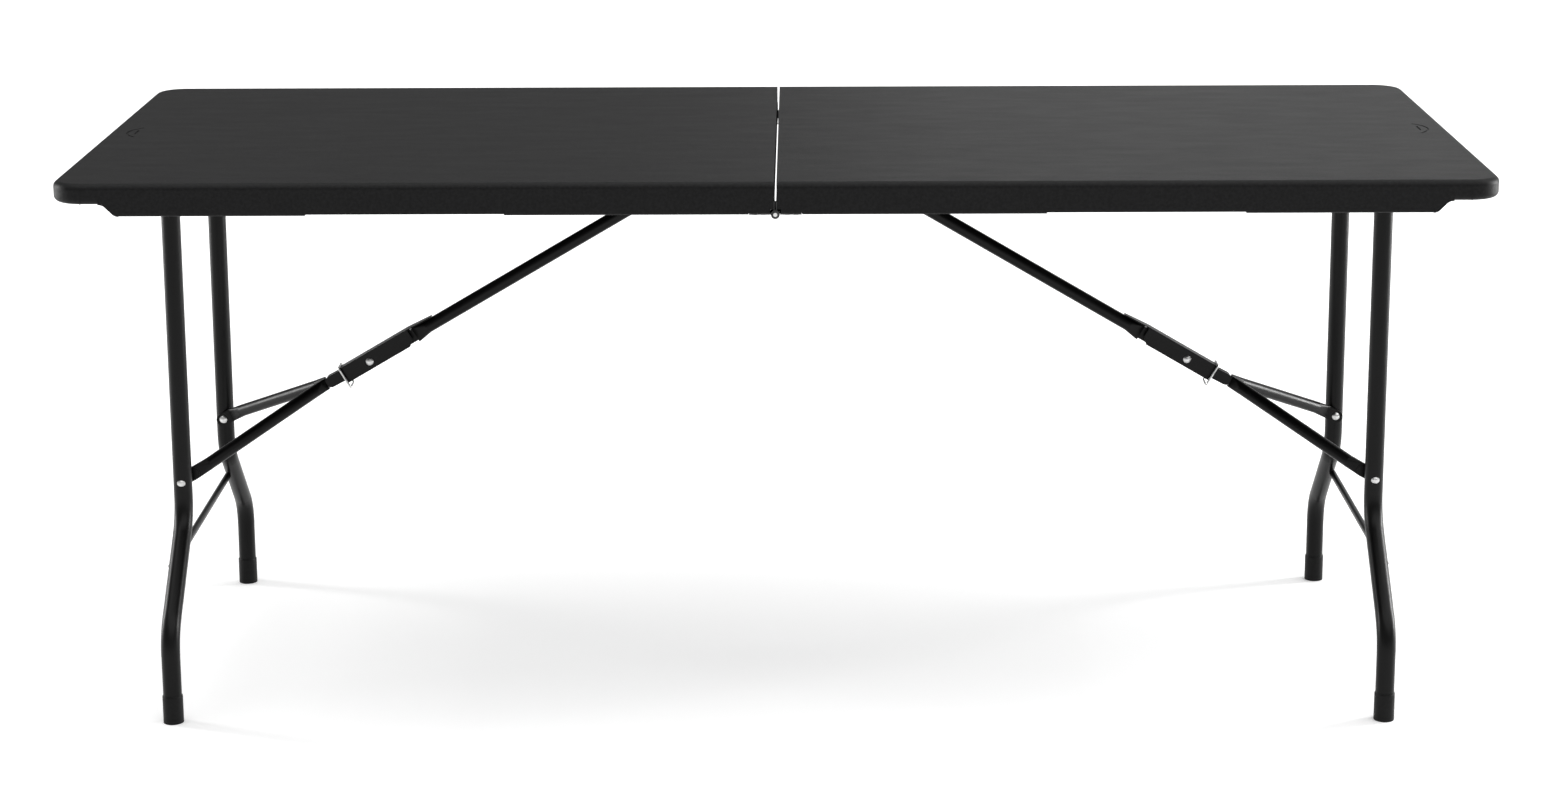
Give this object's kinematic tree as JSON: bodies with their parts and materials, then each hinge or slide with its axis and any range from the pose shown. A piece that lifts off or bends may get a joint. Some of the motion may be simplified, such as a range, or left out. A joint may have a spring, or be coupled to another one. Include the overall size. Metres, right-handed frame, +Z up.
{
  "type": "folding table",
  "caption": "Rectangular folding table: moulded top hinged across the middle, folding bent-tube leg frames and braces locked by sliding rings.",
  "frame": {"origin": "on the floor at the centre of the open table", "axes": "+X along the table's length to the right, +Y towards the rear long side, +Z up"},
  "size_m": [1.82, 0.74, 0.74],
  "materials": {
    "top_plastic": "fine-grained dark grey moulded polyethylene",
    "black_frame": "satin black powder coat on steel",
    "zinc": "bright zinc plate",
    "hinge_zinc": "dull zinc-plated sheet steel",
    "black_nylon": "black nylon",
    "foot_cap": "black moulded foot cap"
  },
  "bodies": {
    "left_half": {"left_panel": "top_plastic", "left_front_rail": "black_frame", "left_rear_rail": "black_frame", "left_rail_screws": "zinc", "left_front_hinge_leaf": "hinge_zinc", "left_rear_hinge_leaf": "hinge_zinc", "left_hinge_screws": "zinc", "left_brace_bracket": "black_frame", "left_bracket_screws": "zinc", "left_brace_pin": "zinc", "front_hinge_pin": "zinc", "rear_hinge_pin": "zinc"},
    "left_leg_frame": {"left_pivot_tube": "black_frame", "left_pivot_plugs": "black_nylon", "left_front_leg": "black_frame", "left_rear_leg": "black_frame", "left_cross_bar": "black_frame", "left_front_foot": "foot_cap", "left_rear_foot": "foot_cap", "left_leg_rivets": "zinc"},
    "left_brace": {"left_upper_brace": "black_frame", "left_knee_channel": "black_frame", "left_knee_rivet": "zinc"},
    "left_arms": {"left_front_arm": "black_frame", "left_rear_arm": "black_frame", "left_arm_rivets": "zinc"},
    "left_ring": {"left_lock_ring": "zinc"},
    "right_half": {"right_panel": "top_plastic", "right_front_rail": "black_frame", "right_rear_rail": "black_frame", "right_rail_screws": "zinc", "right_front_hinge_leaf": "hinge_zinc", "right_rear_hinge_leaf": "hinge_zinc", "right_hinge_screws": "zinc", "right_brace_bracket": "black_frame", "right_bracket_screws": "zinc", "right_brace_pin": "zinc"},
    "right_leg_frame": {"right_pivot_tube": "black_frame", "right_pivot_plugs": "black_nylon", "right_front_leg": "black_frame", "right_rear_leg": "black_frame", "right_cross_bar": "black_frame", "right_front_foot": "foot_cap", "right_rear_foot": "foot_cap", "right_leg_rivets": "zinc"},
    "right_brace": {"right_upper_brace": "black_frame", "right_knee_channel": "black_frame", "right_knee_rivet": "zinc"},
    "right_arms": {"right_front_arm": "black_frame", "right_rear_arm": "black_frame", "right_arm_rivets": "zinc"},
    "right_ring": {"right_lock_ring": "zinc"}
  },
  "joints": [
    {"name": "table_fold", "type": "hinge", "parent": "left_half", "child": "right_half", "pos_m": [0, 0, 0.699], "axis": [0, 1, 0], "range_deg": [0, 90]},
    {"name": "right_leg_fold", "type": "hinge", "parent": "right_half", "child": "right_leg_frame", "pos_m": [0.7975, 0, 0.7125], "axis": [0, 1, 0], "range_deg": [0, 90.5]},
    {"name": "right_brace_fold", "type": "hinge", "parent": "right_half", "child": "right_brace", "pos_m": [0.05294, 0, 0.72], "axis": [0, -1, 0], "range_deg": [0, 30.4]},
    {"name": "right_arms_fold", "type": "hinge", "parent": "right_brace", "child": "right_arms", "pos_m": [0.56493, 0, 0.41962], "axis": [0, 1, 0], "range_deg": [0, 180.79]},
    {"name": "right_ring_slide", "type": "slide", "parent": "right_brace", "child": "right_ring", "axis": [-0.8625, 0, 0.506], "range_m": [0, 0.32]},
    {"name": "left_leg_fold", "type": "hinge", "parent": "left_half", "child": "left_leg_frame", "pos_m": [-0.7975, 0, 0.7125], "axis": [0, -1, 0], "range_deg": [0, 90.5]},
    {"name": "left_brace_fold", "type": "hinge", "parent": "left_half", "child": "left_brace", "pos_m": [-0.05294, 0, 0.72], "axis": [0, 1, 0], "range_deg": [0, 30.4]},
    {"name": "left_arms_fold", "type": "hinge", "parent": "left_brace", "child": "left_arms", "pos_m": [-0.56493, 0, 0.41962], "axis": [0, -1, 0], "range_deg": [0, 180.79]},
    {"name": "left_ring_slide", "type": "slide", "parent": "left_brace", "child": "left_ring", "axis": [0.8625, 0, 0.506], "range_m": [0, 0.32]}
  ],
  "couplings": [
    {"joint": "right_brace_fold", "follows": "right_leg_fold", "ratio": 0.33591},
    {"joint": "right_arms_fold", "follows": "right_leg_fold", "ratio": 1.9977},
    {"joint": "right_ring_slide", "follows": "right_leg_fold", "m_per_rad": 0.20257},
    {"joint": "left_brace_fold", "follows": "left_leg_fold", "ratio": 0.33591},
    {"joint": "left_arms_fold", "follows": "left_leg_fold", "ratio": 1.9977},
    {"joint": "left_ring_slide", "follows": "left_leg_fold", "m_per_rad": 0.20257}
  ]
}
